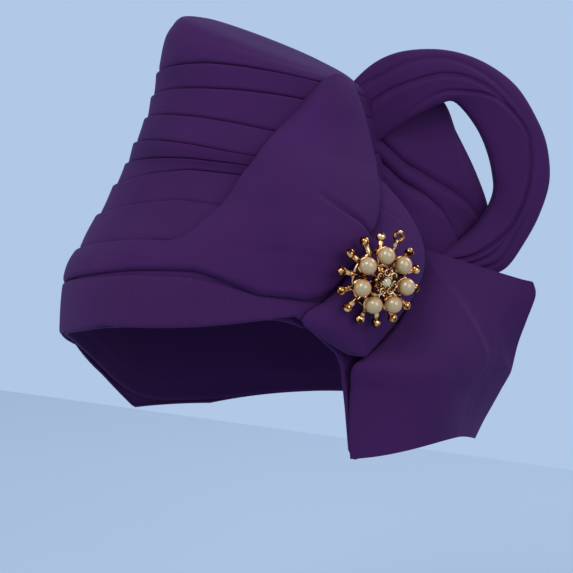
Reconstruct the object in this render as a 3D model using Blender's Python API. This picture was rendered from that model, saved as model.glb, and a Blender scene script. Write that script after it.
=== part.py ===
"""A pre-tied turban hat of thick smooth cloth, modelled in Blender as its separate sewn pieces.

A close cap sits on the head. A plain front band runs round its rim, and a tall crown of
overlapping pleats rises from the band. A wide wrap panel sweeps from the band up to the top of
the crown and is gathered into a knot at the wearer's left temple. Out of the knot come an upright
bow loop, a leaf of cloth inside that loop and a flared tail over the ear and nape. A domed brooch
of pearls is pinned to the knot.

Frame: +Z up. The origin is inside the cap where the top of the head touches it. The wearer faces
-Y, and the wearer's left side, with the knot, is +X. Lengths are written in millimetres, angles in
degrees, and the meshes are made in metres. An angle round the hat counts from the front of the
head towards the wearer's left. A level counts up the hat's sections, one row of HAT_SECTIONS each.
"""
from math import asin, cos, degrees, exp, pi, radians, sin

import bmesh
import bpy
import numpy as np
from mathutils import Matrix, Vector

MM = 0.001
SEAM_GAP = 0.4           # between two pieces that lie on each other
COLUMNS = 36             # facets round the head
DROP_START = 77.5        # the rim drops steeply between these two angles
DROP_END = 82.5

# The head opening and the cap
HEAD_HALF_WIDTH = 71.5
HEAD_HALF_LENGTH = 90.5
HEAD_DEPTH = 78.0        # from the top of the head down to its widest level
HEAD_CENTRE_Y = -15.0    # the widest level is centred this far in front of the top
NECK_TAPER = 0.05
CAP_CLOTH = 1.5
BAND_CLOTH = 2.6
BAND_OVERHANG = 1.0      # the band's lower edge hides the cap's

# The crown's pleats
CROWN_CLOTH = 1.5
CREASE_DEPTH = 1.2
PLEAT_RISE = 1.5
PLEAT_PROFILE = ((0.03, -CREASE_DEPTH), (0.25, 0.8 * PLEAT_RISE), (0.93, PLEAT_RISE))  # height share, lift
BAND_TOP = 2             # the level of the band's upper edge
LAST_SECTION = 12
TOP_DOME = 1.5           # the top's middle stands this far over its edge

# The wrapped pieces
PANEL_CLOTH = 2.4
KNOT_BASE = PLEAT_RISE + 0.8
LOW_PANEL_BASE = 0.75
PANEL_STEP = 9.0
TAIL_CLOTH = 3.0
HEM_LIFT = 5.0           # the middle of the tail's hem hangs higher than its corners
LEAF_CLOTH = 3.0

# The upright bow stands in a plane of its own, turned round +Z
BOW_FOOT = (46.0, 26.0, -50.0)
BOW_TURN = 50.0

# The brooch
BROOCH_ALONG = 4.5       # where its centre lies on the knot, in the knot's rows
BROOCH_ACROSS = 0.122
BROOCH_STAND_OFF = 5.45
BROOCH_TURN = 68.0
BROOCH_RING_RADIUS = 6.6
BROOCH_WIRE = 1.8
HUB_WIRE = 1.3           # the spokes inside the ring
JOINT_OVERLAP = 0.3      # so that the spokes are soldered into the ring
SPOKES = 14
SPOKE_START = 3.4
SPOKE_RADIUS = 18.6
BAIL_SPOKE = 1
BALL_DIAMETER = 4.3
PEARLS = 7
PEARL_DIAMETER = 8.0
PEARL_RADIUS = 11.1
PEARL_RISE = 5.6
STONE_DIAMETER = 4.0
PIN_ANGLE = 35.0         # along the knot
PIN_LENGTH = 20.0
PIN_DIAMETER = 1.6
PIN_SET_BACK = -2.1

HAT_COLUMNS = ("height", "half_width", "front", "back", "centre_y", "fall_back", "fall_left")
HAT_SECTIONS = (
    (-145.0, 74.8, 94.0, 94.0, -15.0, 0.25, -0.08),
    (-107.5, 76.0, 95.0, 95.0, -15.0, 0.25, -0.08),
    (-70.0, 76.2, 92.0, 96.2, -15.0, 0.25, -0.07),
    (-50.3, 75.4, 79.5, 98.0, -14.0, 0.25, -0.06),
    (-33.3, 69.6, 65.0, 96.0, -10.0, 0.25, -0.03),
    (-18.9, 62.0, 57.0, 90.0, -8.0, 0.25, -0.02),
    (-7.6, 54.5, 55.5, 80.0, -7.0, 0.25, 0.0),
    (4.6, 50.0, 52.0, 62.0, -5.0, 0.25, 0.0),
    (18.3, 48.0, 48.0, 53.0, -4.0, 0.25, -0.02),
    (27.8, 46.0, 47.0, 48.0, -3.0, 0.25, 0.0),
    (39.0, 44.0, 44.5, 44.0, -2.5, 0.25, 0.12),
    (45.8, 38.5, 38.5, 38.5, -2.0, 0.25, 0.22),
    (48.2, 28.0, 28.0, 28.0, -1.0, 0.25, 0.26),
)
CREASES = (3.0, 4.0, 5.0, 5.45, 6.0, 7.0, 8.0, 9.0)

# The rim of the cap, and of the band where the two differ
RIM_COLUMNS = ("angle", "cap_height", "band_height")
RIM = (
    (-180.0, -128.0, -128.0),
    (-120.0, -133.0, -133.0),
    (-92.0, -128.0, -128.0),
    (-78.0, -110.0, -110.0),
    (-62.0, -92.0, -92.0),
    (-43.0, -82.0, -82.0),
    (0.0, -69.0, -69.0),
    (33.0, -67.0, -67.0),
    (61.0, -64.0, -64.0),
    (77.5, -84.0, -82.0),
    (82.5, -132.0, -84.0),
    (110.0, -131.0, -90.0),
    (140.0, -129.0, -112.0),
    (180.0, -128.0, -128.0),
)

# The wrap panel, from the wearer's right round the front into the knot, a row for each fold line
PANEL_COLUMNS = ("low_angle", "low_level", "top_angle", "top_level", "bulge", "crease_at", "crease_depth")
PANEL = (
    (-125.0, 2.2, -125.0, 2.6, 0.0, 0.5, 0.0),
    (-85.0, 2.1, -85.0, 2.85, 0.3, 0.5, 0.0),
    (-45.0, 2.1, -45.0, 2.9, 0.5, 0.5, 0.0),
    (-5.0, 2.15, -2.0, 3.0, 0.6, 0.5, 0.0),
    (20.0, 2.2, 19.0, 3.05, 0.8, 0.5, 0.0),
    (32.0, 2.2, 25.0, 3.6, 1.0, 0.6, 0.2),
    (40.0, 2.15, 29.0, 4.3, 1.6, 0.6, 1.0),
    (47.0, 2.1, 33.0, 5.13, 2.4, 0.5, 2.0),
    (54.0, 2.1, 40.0, 5.95, 3.6, 0.3, 3.0),
    (60.0, 2.1, 49.0, 7.0, 4.6, 0.16, 3.0),
    (64.0, 2.1, 60.0, 7.85, 5.4, 0.33, 1.5),
    (68.5, 2.2, 71.0, 9.0, 6.4, 0.25, 2.5),
    (72.0, 2.4, 79.0, 9.8, 7.0, 0.20, 3.0),
    (75.0, 2.75, 90.0, 9.6, 7.4, 0.16, 3.0),
    (78.0, 3.05, 98.0, 8.4, 7.4, 0.13, 3.0),
    (81.0, 3.3, 103.0, 7.4, 7.0, 0.10, 2.5),
    (83.5, 3.5, 103.0, 6.4, 5.0, 0.08, 1.5),
    (85.0, 3.7, 100.0, 5.65, 3.0, 0.08, 0.0),
)

# The knot, from behind the panel's lobe down to the rim
KNOT_COLUMNS = ("left_angle", "left_level", "right_angle", "right_level", "thickness")
KNOT = (
    (108.0, 5.95, 114.0, 5.6, 4.0),
    (99.0, 5.2, 114.0, 5.25, 6.5),
    (90.0, 4.3, 114.0, 4.8, 8.5),
    (84.5, 3.4, 113.5, 4.1, 9.5),
    (79.0, 2.8, 112.0, 3.4, 10.0),
    (74.0, 2.35, 108.0, 2.8, 9.5),
    (69.0, 2.0, 104.0, 2.3, 8.5),
    (64.0, 1.82, 98.0, 1.95, 7.0),
    (63.0, 1.66, 91.0, 1.66, 5.5),
    (70.0, 1.5, 87.0, 1.5, 4.0),
    (77.5, 1.38, 83.5, 1.38, 3.0),
)

# The bow loop, from its lower end behind the tail up and over to its upper end behind the crown
LOOP_COLUMNS = ("outer_along", "outer_up", "inner_along", "inner_up", "depth", "thickness")
LOOP = (
    (31.0, -8.0, 25.0, 2.0, 6.4, 7.0),
    (46.0, -9.0, 34.0, 7.0, 4.0, 9.0),
    (57.0, -6.0, 42.0, 13.0, 2.0, 10.0),
    (66.0, 5.0, 48.5, 21.0, 0.0, 11.0),
    (73.0, 18.0, 51.5, 29.0, 0.0, 11.0),
    (77.5, 33.0, 51.0, 37.0, 0.0, 11.0),
    (76.5, 48.0, 48.5, 47.0, 0.0, 11.0),
    (72.0, 61.0, 44.0, 57.0, 0.0, 11.0),
    (62.0, 77.0, 37.0, 66.5, 0.0, 11.0),
    (47.0, 88.0, 31.0, 71.0, 0.0, 11.0),
    (30.0, 93.5, 24.0, 71.0, 0.0, 11.0),
    (12.0, 93.5, 16.5, 68.0, -1.0, 10.0),
    (0.0, 89.0, 10.5, 63.0, -3.0, 9.0),
    (-6.0, 79.0, 7.5, 58.0, -4.0, 6.0),
    (-3.0, 64.0, 8.0, 51.0, -2.0, 6.0),
    (-1.0, 51.0, 7.5, 44.0, 2.0, 5.0),
)

# The leaf inside the loop: its rows run from the knot out to the tip at the loop's far side
LEAF_COLUMNS = ("top_along", "top_up", "top_depth", "low_along", "low_up", "low_depth", "bow_out")
LEAF = (
    (5.3, 42.0, -1.0, 21.9, 8.4, 10.2, 3.0),
    (5.5, 57.0, -8.8, 27.5, 10.5, 7.5, 2.0),
    (12.0, 70.0, -10.5, 33.0, 13.0, 3.5, 2.5),
    (28.0, 72.0, -9.5, 38.0, 15.0, 0.0, 3.0),
    (35.0, 57.0, -9.0, 42.0, 15.5, -4.0, 2.0),
    (42.0, 42.0, -9.0, 46.0, 17.0, -8.5, 1.0),
    (47.5, 27.0, -9.0, 49.5, 18.5, -9.0, 0.0),
)
LEAF_FOLDS = 3
LEAF_FOLD_DEPTH = 1.2

# The tail: rows run from its upper edge down to its hem, out from the knot and the cap's edge
TAIL_COLUMNS = ("angle", "level", "lift", "edge_along", "edge_up", "edge_depth", "belly")
TAIL = (
    (115.6, 3.7, 4.0, 69.0, -13.0, 10.0, 2.0),
    (113.3, 3.2, 4.0, 70.0, -19.0, 9.0, 3.0),
    (109.3, 2.65, 4.0, 66.0, -30.0, 8.0, 5.0),
    (104.6, 2.15, 4.0, 62.0, -41.0, 7.0, 8.0),
    (98.4, 1.78, 4.0, 59.0, -53.0, 6.0, 11.0),
    (87.5, 1.4, 3.0, 54.0, -62.0, 6.0, 13.0),
    (80.5, 1.2, 0.5, 50.0, -69.0, 6.0, 15.0),
    (80.5, 0.75, -2.9, 46.0, -76.0, 6.0, 17.0),
    (81.5, 0.22, -2.9, 42.0, -84.0, 6.0, 17.0),
)


def smooth(table, at):
    """Every column of a table at a row number that may fall between rows, without kinks."""
    rows = np.asarray(table, dtype=float)
    last = len(rows) - 1
    at = min(max(at, 0.0), float(last))
    index = min(int(at), last - 1)
    share = at - index
    before, start, end, after = (rows[min(max(index + step, 0), last)] for step in (-1, 0, 1, 2))
    leave = (end - before) / 2
    arrive = (after - start) / 2
    return ((2 * share**3 - 3 * share**2 + 1) * start + (share**3 - 2 * share**2 + share) * leave
            + (3 * share**2 - 2 * share**3) * end + (share**3 - share**2) * arrive)


def blend(start, end, share):
    """The value or point that lies a share of the way from start to end."""
    return start + (end - start) * share


def rim_height(angle, band=False):
    """Height of the cap's lower edge, or of the band's, at an angle round the head."""
    angles = [row[0] for row in RIM]
    heights = [row[2] if band else row[1] for row in RIM]
    turned = (angle + 180.0) % 360.0 - 180.0
    return float(np.interp(turned, angles, heights))


def smooth_hat(angle, level):
    """A point on the hat's plain outer form, before pleats."""
    height, half_width, front, back, centre_y, fall_back, fall_left = smooth(HAT_SECTIONS, level)
    turn = radians(angle)
    half_length = front if cos(turn) > 0 else back
    x = half_width * sin(turn)
    back_from_centre = -half_length * cos(turn)
    return np.array((x, centre_y + back_from_centre, height - fall_back * back_from_centre - fall_left * x))


def hat_point(angle, level, lift=0.0):
    """A point that stands off the hat's plain outer form by lift."""
    small = 0.05
    across = smooth_hat(angle + 1.0, level) - smooth_hat(angle - 1.0, level)
    low = max(level - small, 0.0)
    upwards = smooth_hat(angle, min(level + small, LAST_SECTION)) - smooth_hat(angle, low)
    outward = np.cross(across, upwards)
    return smooth_hat(angle, level) + outward / np.linalg.norm(outward) * lift


def bow_point(along, up, depth):
    """A point in the bow's own plane: out along it, up, and forward of it."""
    turn = radians(BOW_TURN)
    direction = np.array((cos(turn), sin(turn), 0.0))
    facing = np.array((sin(turn), -cos(turn), 0.0))
    return np.array(BOW_FOOT) + along * direction + depth * facing + np.array((0.0, 0.0, up))


def material(name, colour, roughness, metallic=0.0, sheen=0.0):
    """A Principled material with one colour."""
    made = bpy.data.materials.new(name)
    made.use_nodes = True
    shader = made.node_tree.nodes["Principled BSDF"]
    shader.inputs["Base Color"].default_value = (*colour, 1.0)
    shader.inputs["Roughness"].default_value = roughness
    shader.inputs["Metallic"].default_value = metallic
    shader.inputs["Sheen Weight"].default_value = sheen
    made.diffuse_color = (*colour, 1.0)
    return made


def put_in_scene(name, mesh, finish, flat=False):
    """Give a mesh its object, its material and its shading."""
    mesh.materials.append(finish)
    if not flat:
        mesh.shade_smooth()
        mesh.set_sharp_from_angle(angle=radians(40.0))
    made = bpy.data.objects.new(name, mesh)
    bpy.context.scene.collection.objects.link(made)
    return made


def mesh_from(name, points, faces):
    """A closed mesh with its faces outward, from points in millimetres."""
    work = bmesh.new()
    corners = [work.verts.new(Vector(point) * MM) for point in points]
    for face in faces:
        work.faces.new([corners[index] for index in face])
    bmesh.ops.recalc_face_normals(work, faces=work.faces)
    mesh = bpy.data.meshes.new(name)
    work.to_mesh(mesh)
    work.free()
    return mesh


def stacked_rings(rings, start_tip=None, end_tip=None):
    """Points and faces of rings joined one to the next, ended by tips, or else joined in a circle."""
    count = len(rings[0])
    points = [point for ring in rings for point in ring]
    faces = []
    steps = len(rings) - 1 if start_tip is not None else len(rings)
    for step in range(steps):
        here = step * count
        there = (step + 1) % len(rings) * count
        for index in range(count):
            beside = (index + 1) % count
            faces.append((here + index, here + beside, there + beside, there + index))
    for tip, first in ((start_tip, 0), (end_tip, (len(rings) - 1) * count)):
        if tip is not None:
            points.append(tip)
            faces += [(first + index, first + (index + 1) % count, len(points) - 1) for index in range(count)]
    return points, faces


def sheet_solid(front, back):
    """Points and faces of a closed sheet between a front grid and a back grid of the same size."""
    rows = len(front)
    columns = len(front[0])
    points = [point for row in front for point in row] + [point for row in back for point in row]
    behind = rows * columns
    faces = []
    for row in range(rows - 1):
        for column in range(columns - 1):
            corner = row * columns + column
            quad = (corner, corner + 1, corner + columns + 1, corner + columns)
            faces.append(quad)
            faces.append(tuple(index + behind for index in reversed(quad)))
    edge = list(range(columns))
    edge += [row * columns + columns - 1 for row in range(1, rows)]
    edge += [(rows - 1) * columns + column for column in range(columns - 2, -1, -1)]
    edge += [row * columns for row in range(rows - 2, 0, -1)]
    for index, here in enumerate(edge):
        there = edge[(index + 1) % len(edge)]
        faces.append((here, there, there + behind, here + behind))
    return points, faces


def offset_grid(grid, distance):
    """The grid moved along its own normals by a distance, as cloth of even thickness lies."""
    points = np.array(grid)
    across = np.gradient(points, axis=1)
    along = np.gradient(points, axis=0)
    normals = np.cross(along, across)
    normals /= np.linalg.norm(normals, axis=2, keepdims=True)
    return points + normals * distance


def column_angles():
    """The angles of the facets round the head, closer where the rim drops behind the temple."""
    even = [360.0 * column / COLUMNS - 180.0 for column in range(COLUMNS)]
    return sorted([angle for angle in even if not DROP_START < angle < DROP_END] + [DROP_START, DROP_END])


def cap_point(angle, rise, lift):
    """A point on the head form: rise is 0 at its widest level and 90 at its top."""
    turn = radians(angle)
    tilt = radians(rise)
    if rise >= 0:
        share = cos(tilt)
        height = -HEAD_DEPTH * (1 - sin(tilt))
        centre = HEAD_CENTRE_Y * (1 - sin(tilt))
    else:
        share = 1 - NECK_TAPER * tilt**2
        height = HEAD_DEPTH * (tilt - 1)
        centre = HEAD_CENTRE_Y
    upward = max(sin(tilt), 0.0) * lift
    half_width = HEAD_HALF_WIDTH * share + lift * cos(tilt)
    half_length = HEAD_HALF_LENGTH * share + lift * cos(tilt)
    return np.array((half_width * sin(turn), centre - half_length * cos(turn), height + upward))


def rise_at(height):
    """The rise on the head form that has a given height."""
    above = 1 + height / HEAD_DEPTH
    return degrees(asin(above)) if above >= 0 else degrees(above)


def build_base_cap(finish):
    """The close cap, open below, with its rim as deep as the face opening lets it be."""
    angles = column_angles()
    low = [rise_at(rim_height(angle) + BAND_OVERHANG) for angle in angles]

    def ring(share, lift):
        return [cap_point(angle, blend(start, 90.0, share), lift) for angle, start in zip(angles, low)]

    outer_shares = (0.0, 0.13, 0.26, 0.4, 0.52, 0.64, 0.75, 0.85, 0.93)
    inner_shares = (0.93, 0.8, 0.66, 0.5, 0.34, 0.17, 0.0)
    rings = [ring(share, CAP_CLOTH) for share in reversed(outer_shares)]
    rings += [ring(share, 0.0) for share in reversed(inner_shares)]
    points, faces = stacked_rings(rings, (0.0, 0.0, CAP_CLOTH), (0.0, 0.0, 0.0))
    return put_in_scene("base_cap", mesh_from("base_cap", points, faces), finish)


def build_front_band(finish):
    """The plain band round the rim, from the face opening up to the first pleat."""
    angles = column_angles()

    def ring(share, lift):
        made = []
        for angle in angles:
            top = smooth_hat(angle, BAND_TOP)
            low_height = rim_height(angle, band=True)
            low_level = BAND_TOP - (top[2] - low_height) / (HAT_SECTIONS[2][0] - HAT_SECTIONS[1][0])
            made.append(hat_point(angle, blend(low_level, BAND_TOP - 0.01, share), lift))
        return made

    shares = (0.0, 0.34, 0.67, 1.0)
    rings = [ring(share, 0.0) for share in shares]
    rings += [ring(share, -BAND_CLOTH) for share in reversed(shares)]
    points, faces = stacked_rings(rings)
    return put_in_scene("front_band", mesh_from("front_band", points, faces), finish)


def pleat_rows():
    """Level and lift of each outer row of the crown: a crease, a swelling and a rounded edge."""
    rows = [(BAND_TOP + 0.03, -CREASE_DEPTH), (BAND_TOP + 0.3, -0.4), (BAND_TOP + 0.75, -0.4)]
    for crease, above in zip(CREASES[:-1], CREASES[1:]):
        for share, lift in PLEAT_PROFILE:
            rows.append((blend(crease, above, share), lift))
    rows += [(CREASES[-1] + 0.04, -CREASE_DEPTH), (CREASES[-1] + 0.25, 0.5 * PLEAT_RISE)]
    return rows + [(level, 0.0) for level in (10.0, 10.6, 11.2, 12.0)]


def build_crown(finish):
    """The tall pleated crown, each pleat's rounded upper edge lapping over the next one."""
    angles = column_angles()
    rings = [[hat_point(angle, level, lift) for angle in angles] for level, lift in pleat_rows()]
    inner_lift = -CREASE_DEPTH - CROWN_CLOTH
    inner_rows = [(level, inner_lift) for level in (12.0, 11.2, 10.0, 8.5, 7.0, 6.0, 5.0, 4.0, 3.0)]
    inner_rows += [(2.5, 0.8 * inner_lift), (2.03, 0.8 * inner_lift)]
    rings = [[hat_point(angle, level, lift) for angle in angles] for level, lift in inner_rows] + rings
    top = np.array((0.0, HAT_SECTIONS[-1][4], HAT_SECTIONS[-1][0] + TOP_DOME))
    inner_top = top + np.array((0.0, 0.0, inner_lift))
    points, faces = stacked_rings(rings, inner_top, top)
    return put_in_scene("crown", mesh_from("crown", points, faces), finish)


def panel_base(level):
    """How far the panel's inner side stands off the plain form: it lies closer below the pleats."""
    above = min(max((level - BAND_TOP - 0.85) / 0.45, 0.0), 1.0)
    return blend(LOW_PANEL_BASE, KNOT_BASE, above)


def panel_positions():
    """Row numbers along the panel, about one for each PANEL_STEP degrees round the head."""
    positions = []
    for index in range(len(PANEL) - 1):
        turned = max(abs(PANEL[index + 1][0] - PANEL[index][0]), abs(PANEL[index + 1][2] - PANEL[index][2]))
        steps = max(2, round(turned / PANEL_STEP))
        positions += [index + step / steps for step in range(steps)]
    return positions + [len(PANEL) - 1.0]


def build_wrap_panel(finish):
    """The wide panel that wraps the crown and is drawn together into the knot."""
    across = 8
    crease_width = 0.12
    front = []
    back = []
    for position in panel_positions():
        row = smooth(PANEL, position)
        low_angle, low_level, top_angle, top_level, bulge, crease_at, crease_depth = row
        front_row = []
        back_row = []
        for index in range(across + 1):
            share = index / across
            angle = blend(low_angle, top_angle, share)
            level = blend(low_level, top_level, share)
            crease = crease_depth * exp(-((share - crease_at) / crease_width) ** 2)
            rise = max(bulge * sin(pi * share) ** 0.7 - crease, 0.0)
            base = panel_base(level)
            front_row.append(hat_point(angle, level, base + PANEL_CLOTH + rise))
            back_row.append(hat_point(angle, level, base + rise))
        front.append(front_row)
        back.append(back_row)
    points, faces = sheet_solid(front, back)
    return put_in_scene("wrap_panel", mesh_from("wrap_panel", points, faces), finish)


def knot_point(position, share, depth):
    """A point in the knot: along its rows, across it, and from its back at 0 to its face at 1."""
    left_angle, left_level, right_angle, right_level, thickness = smooth(KNOT, position)
    angle = blend(left_angle, right_angle, share)
    level = blend(left_level, right_level, share)
    rounding = 0.25 + 0.75 * sin(pi * share) ** 0.6
    return hat_point(angle, level, KNOT_BASE + thickness * rounding * depth)


def build_knot(finish):
    """The wound knot: a thick strap across the panel's gathered end, rounded at both sides."""
    steps = 16
    across = 8
    front = []
    back = []
    for step in range(steps + 1):
        position = (len(KNOT) - 1) * step / steps
        front.append([knot_point(position, index / across, 1.0) for index in range(across + 1)])
        back.append([knot_point(position, index / across, 0.0) for index in range(across + 1)])
    points, faces = sheet_solid(front, back)
    return put_in_scene("knot", mesh_from("knot", points, faces), finish)


def build_bow_loop(finish):
    """The upright bow loop: a folded band of cloth that goes right round an open eye."""
    steps = 30
    sides = 10
    rings = []
    for step in range(steps + 1):
        row = smooth(LOOP, (len(LOOP) - 1) * step / steps)
        outer = bow_point(row[0], row[1], row[4])
        inner = bow_point(row[2], row[3], row[4])
        middle = (outer + inner) / 2
        half_band = (outer - inner) / 2
        forward = bow_point(0.0, 0.0, 1.0) - bow_point(0.0, 0.0, 0.0)
        ring = []
        for side in range(sides):
            turn = 2 * pi * side / sides
            flat = np.sign(sin(turn)) * abs(sin(turn)) ** 0.6
            ring.append(middle + half_band * cos(turn) + forward * flat * row[5] / 2)
        rings.append(ring)
    ends = [np.mean(rings[index], axis=0) for index in (0, -1)]
    points, faces = stacked_rings(rings, ends[0], ends[1])
    return put_in_scene("bow_loop", mesh_from("bow_loop", points, faces), finish)


def build_bow_leaf(finish):
    """The leaf of folded cloth that closes the near part of the loop's eye."""
    steps = 10
    across = 9
    grid = []
    for step in range(steps + 1):
        row = smooth(LEAF, (len(LEAF) - 1) * step / steps)
        top = bow_point(*row[0:3])
        low = bow_point(*row[3:6])
        forward = bow_point(0.0, 0.0, 1.0) - bow_point(0.0, 0.0, 0.0)
        fade = 1 - step / steps
        grid_row = []
        for index in range(across + 1):
            share = index / across
            fold = LEAF_FOLD_DEPTH * fade * sin(2 * pi * LEAF_FOLDS * share)
            grid_row.append(blend(top, low, share) + forward * (row[6] * sin(pi * share) + fold))
        grid.append(grid_row)
    points, faces = sheet_solid(grid, offset_grid(grid, LEAF_CLOTH))
    return put_in_scene("bow_leaf", mesh_from("bow_leaf", points, faces), finish)


def build_bow_tail(finish):
    """The flared tail, from the knot round the side of the cap and off it to a free edge."""
    steps = 12
    across = 8
    grid = []
    for step in range(steps + 1):
        row = smooth(TAIL, (len(TAIL) - 1) * step / steps)
        start = hat_point(row[0], row[1], row[2])
        end = bow_point(row[3], row[4], row[5])
        chord = end - start
        outward = np.cross((0.0, 0.0, -1.0), chord)
        outward /= np.linalg.norm(outward)
        hem_lift = np.array((0.0, 0.0, HEM_LIFT * (step / steps) ** 6))
        grid_row = []
        for index in range(across + 1):
            share = index / across
            belly = outward * row[6] * sin(pi * share**0.8)
            grid_row.append(start + chord * share + belly + hem_lift * sin(pi * share))
        grid.append(grid_row)
    points, faces = sheet_solid(grid, offset_grid(grid, TAIL_CLOTH))
    return put_in_scene("bow_tail", mesh_from("bow_tail", points, faces), finish)


def brooch_matrix():
    """The brooch's own frame: +Z out of its face and +Y up."""
    turn = radians(BROOCH_TURN)
    right = Vector((cos(turn), sin(turn), 0.0))
    up = Vector((0.0, 0.0, 1.0))
    facing = Vector((sin(turn), -cos(turn), 0.0))
    placed = Matrix((right, up, facing)).transposed().to_4x4()
    surface = Vector(knot_point(BROOCH_ALONG, BROOCH_ACROSS, 1.0))
    placed.translation = (surface + facing * BROOCH_STAND_OFF) * MM
    return placed


def on_dial(angle, radius, height=0.0):
    """A point on the brooch, its angle clockwise from the top, in metres."""
    turn = radians(angle)
    return Vector((radius * sin(turn), radius * cos(turn), height)) * MM


def add_rod(work, start, end, diameter, sides=6):
    """A round rod between two points."""
    direction = end - start
    turned = direction.to_track_quat("Z", "Y").to_matrix().to_4x4()
    place = Matrix.Translation((start + end) / 2) @ turned
    bmesh.ops.create_cone(work, cap_ends=True, segments=sides, radius1=diameter * MM / 2,
                          radius2=diameter * MM / 2, depth=direction.length, matrix=place)


def add_ball(work, centre, diameter, around=8, rows=5):
    """A round ball."""
    bmesh.ops.create_uvsphere(work, u_segments=around, v_segments=rows, radius=diameter * MM / 2,
                              matrix=Matrix.Translation(centre))


def add_hoop(work, centre, normal, radius, wire, around=14, sides=6):
    """A ring of wire about a centre, with the normal as its axis."""
    place = Matrix.Translation(centre) @ normal.to_track_quat("Z", "Y").to_matrix().to_4x4()
    corners = []
    for step in range(around):
        turn = 2 * pi * step / around
        for side in range(sides):
            tilt = 2 * pi * side / sides
            reach = (radius + wire / 2 * cos(tilt)) * MM
            point = Vector((reach * cos(turn), reach * sin(turn), wire / 2 * sin(tilt) * MM))
            corners.append(work.verts.new(place @ point))
    for step in range(around):
        for side in range(sides):
            here = step * sides
            there = (step + 1) % around * sides
            beside = (side + 1) % sides
            work.faces.new([corners[index] for index in
                            (here + side, there + side, there + beside, here + beside)])


def hidden_tool(name, fill):
    """A closed shape that is only united with another, never shown."""
    work = bmesh.new()
    fill(work)
    bmesh.ops.recalc_face_normals(work, faces=work.faces)
    mesh = bpy.data.meshes.new(name)
    work.to_mesh(mesh)
    work.free()
    made = bpy.data.objects.new(name, mesh)
    made.hide_render = True
    made.display_type = "WIRE"
    made.matrix_world = brooch_matrix()
    return made


def brooch_shapes():
    """The makers of each bar, ball, cup and petal of the brooch's metal frame."""
    shapes = []
    spoke_step = 360.0 / SPOKES
    pearl_step = 360.0 / PEARLS
    for spoke in range(SPOKES):
        angle = SPOKE_START + spoke_step * spoke
        tip = on_dial(angle, SPOKE_RADIUS)
        start = on_dial(angle, BROOCH_RING_RADIUS - JOINT_OVERLAP)
        shapes.append(lambda work, start=start, tip=tip: add_rod(work, start, tip, BROOCH_WIRE))
        if spoke == BAIL_SPOKE:
            centre = on_dial(angle, SPOKE_RADIUS + 2.0)
            shapes.append(lambda work, centre=centre: add_hoop(work, centre, Vector((0, 0, 1)), 2.0, 1.3))
        else:
            shapes.append(lambda work, tip=tip: add_ball(work, tip, BALL_DIAMETER))
    for pearl in range(PEARLS):
        angle = SPOKE_START + pearl_step * pearl
        foot = on_dial(angle, PEARL_RADIUS, 0.0)
        cup = on_dial(angle, PEARL_RADIUS, PEARL_RISE - PEARL_DIAMETER / 2 - SEAM_GAP)
        shapes.append(lambda work, foot=foot, cup=cup: add_rod(work, foot, cup, 5.0, 8))
    hub_top = on_dial(0.0, 0.0, 6.8)
    shapes.append(lambda work: add_rod(work, on_dial(0.0, 0.0, -0.7), hub_top, 5.0, 10))
    for petal in range(PEARLS):
        angle = SPOKE_START + pearl_step * petal
        root = on_dial(angle, 1.5, 6.0)
        tip = on_dial(angle, 4.6, 6.9)
        shapes.append(lambda work, root=root, tip=tip: add_rod(work, root, tip, 2.2))
    for spoke in range(0, SPOKES, 2):
        angle = SPOKE_START + spoke_step * spoke
        inner = on_dial(angle, 1.5)
        outer = on_dial(angle, BROOCH_RING_RADIUS)
        shapes.append(lambda work, inner=inner, outer=outer: add_rod(work, inner, outer, HUB_WIRE))
    return shapes


def build_brooch_frame(finish):
    """The soldered metal frame: a ring, its spokes and tips, the pearls' cups and the flower."""
    tools = bpy.data.collections.new("brooch_tools")
    for index, shape in enumerate(brooch_shapes()):
        tools.objects.link(hidden_tool(f"brooch_tool_{index}", shape))
    work = bmesh.new()
    add_hoop(work, Vector((0, 0, 0)), Vector((0, 0, 1)), BROOCH_RING_RADIUS, 1.8, 21)
    bmesh.ops.recalc_face_normals(work, faces=work.faces)
    mesh = bpy.data.meshes.new("brooch_frame")
    work.to_mesh(mesh)
    work.free()
    made = put_in_scene("brooch_frame", mesh, finish)
    union = made.modifiers.new("soldered", "BOOLEAN")
    union.operation = "UNION"
    union.operand_type = "COLLECTION"
    union.collection = tools
    union.solver = "EXACT"
    made.matrix_world = brooch_matrix()
    return made


def build_pearls(finish):
    """Round pearls, each in its cup."""
    work = bmesh.new()
    add_ball(work, Vector((0, 0, 0)), PEARL_DIAMETER, 12, 7)
    mesh = bpy.data.meshes.new("pearl")
    work.to_mesh(mesh)
    work.free()
    mesh.materials.append(finish)
    mesh.shade_smooth()
    for pearl in range(PEARLS):
        angle = SPOKE_START + 360.0 / PEARLS * pearl
        made = bpy.data.objects.new(f"pearl_{pearl + 1}", mesh)
        bpy.context.scene.collection.objects.link(made)
        made.matrix_world = brooch_matrix() @ Matrix.Translation(on_dial(angle, PEARL_RADIUS, PEARL_RISE))


def build_centre_stone(finish):
    """The clear stone in the flower: a flat table, eight crown facets and eight below."""
    girdle_height = 7.9
    sides = 8
    table = [on_dial(360.0 * side / sides, STONE_DIAMETER * 0.28, girdle_height + 0.9) / MM
             for side in range(sides)]
    girdle = [on_dial(360.0 * (side + 0.5) / sides, STONE_DIAMETER / 2, girdle_height) / MM
              for side in range(sides)]
    belt = [point - Vector((0, 0, 0.3)) for point in girdle]
    foot = [on_dial(360.0 * side / sides, STONE_DIAMETER * 0.3, 7.2) / MM for side in range(sides)]
    tip = on_dial(0.0, 0.0, 7.2) / MM
    table_middle = on_dial(0.0, 0.0, girdle_height + 0.9) / MM
    points, faces = stacked_rings([foot, belt, girdle, table], tip, table_middle)
    made = put_in_scene("centre_stone", mesh_from("centre_stone", points, faces), finish, flat=True)
    made.matrix_world = brooch_matrix()
    return made


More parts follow.
